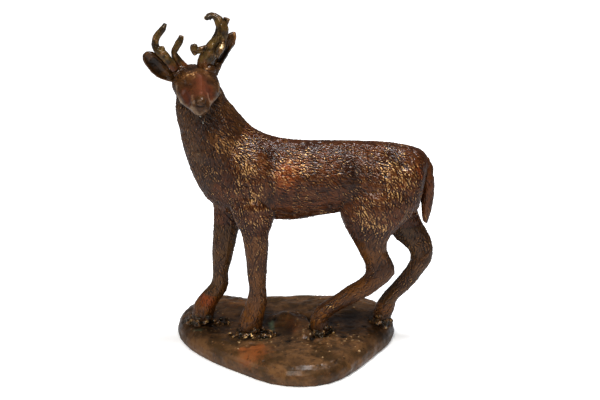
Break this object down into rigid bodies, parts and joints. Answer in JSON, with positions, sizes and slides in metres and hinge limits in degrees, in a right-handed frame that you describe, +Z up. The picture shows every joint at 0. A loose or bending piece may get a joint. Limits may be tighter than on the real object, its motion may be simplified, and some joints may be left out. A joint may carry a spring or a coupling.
{
  "type": "bronze stag statuette",
  "caption": "Cast bronze stag standing on a hollow ground base, head turned aside; hollow castings joined with sleeves, dowels, pins, braze and studs.",
  "frame": {"origin": "middle of the footprint of the whole statuette, on the surface that the base's rim stands on", "axes": "+Z up; the stag's trunk faces -X and its head is turned to look along -Y"},
  "size_m": [0.1939, 0.135, 0.2359],
  "materials": {
    "ground_bronze": "cast bronze, dark olive-brown patina with copper rubs and green specks, semi-gloss wax",
    "body_bronze": "cast bronze, hair texture, chocolate patina rubbed through to gold",
    "head_bronze": "cast bronze, smooth red-brown patina with grey dust in the folds",
    "ear_bronze": "cast bronze, orange-gold rims over near-black hollows",
    "leg_bronze": "cast bronze, brown patina, redder at the pasterns",
    "antler_bronze": "cast bronze, olive-brass patina with bright tips",
    "braze_metal": "rough braze, dark with bright gold flecks",
    "fastener_steel": "dull plated steel"
  },
  "bodies": {
    "root": {"base_shell": "ground_bronze", "braze_pads": "braze_metal", "hoof_studs": "fastener_steel", "stud_washers": "fastener_steel", "stud_nuts": "fastener_steel", "left_fore_hoof": "leg_bronze", "right_fore_hoof": "leg_bronze", "left_hind_hoof": "leg_bronze", "right_hind_hoof": "leg_bronze", "left_foreleg": "leg_bronze", "right_foreleg": "leg_bronze", "left_hind_leg": "leg_bronze", "right_hind_leg": "leg_bronze", "leg_dowels": "fastener_steel", "torso_shell": "body_bronze", "core_plugs": "body_bronze", "tail": "body_bronze", "neck_sleeve": "body_bronze", "neck_shell": "body_bronze", "sleeve_pins": "fastener_steel", "head_sleeve": "body_bronze", "head_casting": "head_bronze", "left_ear": "ear_bronze", "right_ear": "ear_bronze", "left_antler": "antler_bronze", "left_brow_tine": "antler_bronze", "left_front_tine": "antler_bronze", "left_rear_tine": "antler_bronze", "right_antler": "antler_bronze", "right_brow_tine": "antler_bronze", "antler_pins": "fastener_steel"}
  },
  "joints": []
}
